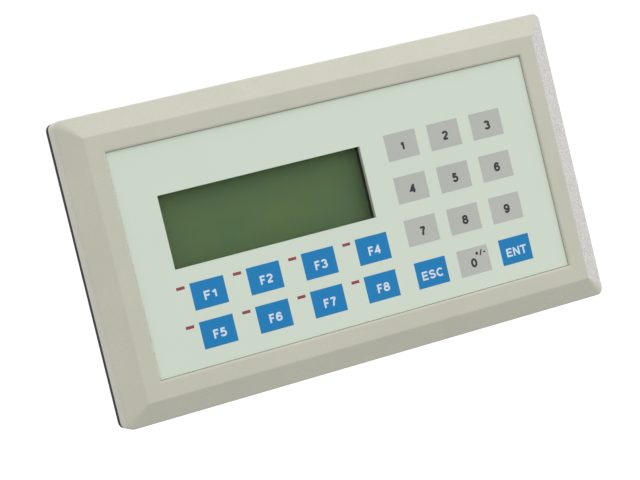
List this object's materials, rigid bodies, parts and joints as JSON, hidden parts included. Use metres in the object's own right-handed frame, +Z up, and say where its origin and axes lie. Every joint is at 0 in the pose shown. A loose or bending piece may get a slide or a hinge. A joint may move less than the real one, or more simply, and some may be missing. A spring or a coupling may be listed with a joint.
{
  "type": "keypad operator panel with character display",
  "caption": "Cabinet-mounted machine operator panel: membrane keypad and green character LCD in a chamfered beige frame, with a rear housing and screw clamps.",
  "frame": {"origin": "centre of the cabinet wall's front surface where the gasket seats, in the middle of the frame's outline", "axes": "+X to the operator's right, +Z up, +Y into the cabinet; the face looks along -Y"},
  "size_m": [0.1872, 0.0538, 0.1054],
  "materials": {
    "bezel_plastic": "textured matte beige moulding",
    "overlay_film": "fine satin printed film, pale mint",
    "grey_key": "satin printed key, grey",
    "blue_key": "satin printed key, blue",
    "lamp_red": "unlit dark red light pipe",
    "clear_pane": "clear anti-glare pane",
    "lcd_green": "reflective green display, satin polariser",
    "light_guide": "milky light guide",
    "display_steel": "black coated sheet steel",
    "dome_film": "polyester dome sheet",
    "circuit_board": "green solder mask",
    "flat_cable": "grey ribbon",
    "chip_black": "black moulded package",
    "gasket_rubber": "black foam rubber",
    "housing_plastic": "spark-textured dark grey moulding",
    "cover_steel": "zinc-plated sheet, fine brushed",
    "connector_shell": "tin-plated shell",
    "bright_screw": "zinc-plated screw",
    "terminal_green": "green moulded terminal block",
    "clamp_steel": "zinc-plated clamp"
  },
  "bodies": {
    "panel": {"front_bezel": "bezel_plastic", "overlay": "overlay_film", "gasket": "gasket_rubber", "light_pipe_f1": "lamp_red", "light_pipe_f2": "lamp_red", "light_pipe_f3": "lamp_red", "light_pipe_f4": "lamp_red", "light_pipe_f5": "lamp_red", "light_pipe_f6": "lamp_red", "light_pipe_f7": "lamp_red", "light_pipe_f8": "lamp_red", "dome_sheet": "dome_film", "keypad_board": "circuit_board", "window_pane": "clear_pane", "lcd_frame": "display_steel", "lcd_glass": "lcd_green", "lcd_backlight": "light_guide", "lcd_board": "circuit_board", "keypad_cable": "flat_cable", "lcd_cable": "flat_cable", "main_board": "circuit_board", "processor": "chip_black", "rear_housing": "housing_plastic", "rear_cover": "cover_steel", "serial_port": "connector_shell", "jack_screw_left": "bright_screw", "jack_screw_right": "bright_screw", "power_terminal": "terminal_green", "housing_screw_top_left": "bright_screw", "housing_screw_top_right": "bright_screw", "housing_screw_bottom_left": "bright_screw", "housing_screw_bottom_right": "bright_screw", "clamp_top_left": "clamp_steel", "clamp_top_right": "clamp_steel", "clamp_bottom_left": "clamp_steel", "clamp_bottom_right": "clamp_steel"},
    "key_f1": {"key_f1": "blue_key"},
    "key_f2": {"key_f2": "blue_key"},
    "key_f3": {"key_f3": "blue_key"},
    "key_f4": {"key_f4": "blue_key"},
    "key_f5": {"key_f5": "blue_key"},
    "key_f6": {"key_f6": "blue_key"},
    "key_f7": {"key_f7": "blue_key"},
    "key_f8": {"key_f8": "blue_key"},
    "key_1": {"key_1": "grey_key"},
    "key_2": {"key_2": "grey_key"},
    "key_3": {"key_3": "grey_key"},
    "key_4": {"key_4": "grey_key"},
    "key_5": {"key_5": "grey_key"},
    "key_6": {"key_6": "grey_key"},
    "key_7": {"key_7": "grey_key"},
    "key_8": {"key_8": "grey_key"},
    "key_9": {"key_9": "grey_key"},
    "key_esc": {"key_esc": "blue_key"},
    "key_0": {"key_0": "grey_key"},
    "key_enter": {"key_enter": "blue_key"},
    "clamp_screw_top_left": {"clamp_screw_top_left": "bright_screw"},
    "clamp_screw_top_right": {"clamp_screw_top_right": "bright_screw"},
    "clamp_screw_bottom_left": {"clamp_screw_bottom_left": "bright_screw"},
    "clamp_screw_bottom_right": {"clamp_screw_bottom_right": "bright_screw"}
  },
  "joints": [
    {"name": "key_f1_press", "type": "slide", "parent": "panel", "child": "key_f1", "axis": [0, 1, 0], "range_m": [0, 0.0005], "stiffness_N_per_m": 4000},
    {"name": "key_f2_press", "type": "slide", "parent": "panel", "child": "key_f2", "axis": [0, 1, 0], "range_m": [0, 0.0005], "stiffness_N_per_m": 4000},
    {"name": "key_f3_press", "type": "slide", "parent": "panel", "child": "key_f3", "axis": [0, 1, 0], "range_m": [0, 0.0005], "stiffness_N_per_m": 4000},
    {"name": "key_f4_press", "type": "slide", "parent": "panel", "child": "key_f4", "axis": [0, 1, 0], "range_m": [0, 0.0005], "stiffness_N_per_m": 4000},
    {"name": "key_f5_press", "type": "slide", "parent": "panel", "child": "key_f5", "axis": [0, 1, 0], "range_m": [0, 0.0005], "stiffness_N_per_m": 4000},
    {"name": "key_f6_press", "type": "slide", "parent": "panel", "child": "key_f6", "axis": [0, 1, 0], "range_m": [0, 0.0005], "stiffness_N_per_m": 4000},
    {"name": "key_f7_press", "type": "slide", "parent": "panel", "child": "key_f7", "axis": [0, 1, 0], "range_m": [0, 0.0005], "stiffness_N_per_m": 4000},
    {"name": "key_f8_press", "type": "slide", "parent": "panel", "child": "key_f8", "axis": [0, 1, 0], "range_m": [0, 0.0005], "stiffness_N_per_m": 4000},
    {"name": "key_1_press", "type": "slide", "parent": "panel", "child": "key_1", "axis": [0, 1, 0], "range_m": [0, 0.0005], "stiffness_N_per_m": 4000},
    {"name": "key_2_press", "type": "slide", "parent": "panel", "child": "key_2", "axis": [0, 1, 0], "range_m": [0, 0.0005], "stiffness_N_per_m": 4000},
    {"name": "key_3_press", "type": "slide", "parent": "panel", "child": "key_3", "axis": [0, 1, 0], "range_m": [0, 0.0005], "stiffness_N_per_m": 4000},
    {"name": "key_4_press", "type": "slide", "parent": "panel", "child": "key_4", "axis": [0, 1, 0], "range_m": [0, 0.0005], "stiffness_N_per_m": 4000},
    {"name": "key_5_press", "type": "slide", "parent": "panel", "child": "key_5", "axis": [0, 1, 0], "range_m": [0, 0.0005], "stiffness_N_per_m": 4000},
    {"name": "key_6_press", "type": "slide", "parent": "panel", "child": "key_6", "axis": [0, 1, 0], "range_m": [0, 0.0005], "stiffness_N_per_m": 4000},
    {"name": "key_7_press", "type": "slide", "parent": "panel", "child": "key_7", "axis": [0, 1, 0], "range_m": [0, 0.0005], "stiffness_N_per_m": 4000},
    {"name": "key_8_press", "type": "slide", "parent": "panel", "child": "key_8", "axis": [0, 1, 0], "range_m": [0, 0.0005], "stiffness_N_per_m": 4000},
    {"name": "key_9_press", "type": "slide", "parent": "panel", "child": "key_9", "axis": [0, 1, 0], "range_m": [0, 0.0005], "stiffness_N_per_m": 4000},
    {"name": "key_esc_press", "type": "slide", "parent": "panel", "child": "key_esc", "axis": [0, 1, 0], "range_m": [0, 0.0005], "stiffness_N_per_m": 4000},
    {"name": "key_0_press", "type": "slide", "parent": "panel", "child": "key_0", "axis": [0, 1, 0], "range_m": [0, 0.0005], "stiffness_N_per_m": 4000},
    {"name": "key_enter_press", "type": "slide", "parent": "panel", "child": "key_enter", "axis": [0, 1, 0], "range_m": [0, 0.0005], "stiffness_N_per_m": 4000},
    {"name": "clamp_screw_top_left_advance", "type": "slide", "parent": "panel", "child": "clamp_screw_top_left", "axis": [0, -1, 0], "range_m": [0, 0.005]},
    {"name": "clamp_screw_top_right_advance", "type": "slide", "parent": "panel", "child": "clamp_screw_top_right", "axis": [0, -1, 0], "range_m": [0, 0.005]},
    {"name": "clamp_screw_bottom_left_advance", "type": "slide", "parent": "panel", "child": "clamp_screw_bottom_left", "axis": [0, -1, 0], "range_m": [0, 0.005]},
    {"name": "clamp_screw_bottom_right_advance", "type": "slide", "parent": "panel", "child": "clamp_screw_bottom_right", "axis": [0, -1, 0], "range_m": [0, 0.005]}
  ]
}
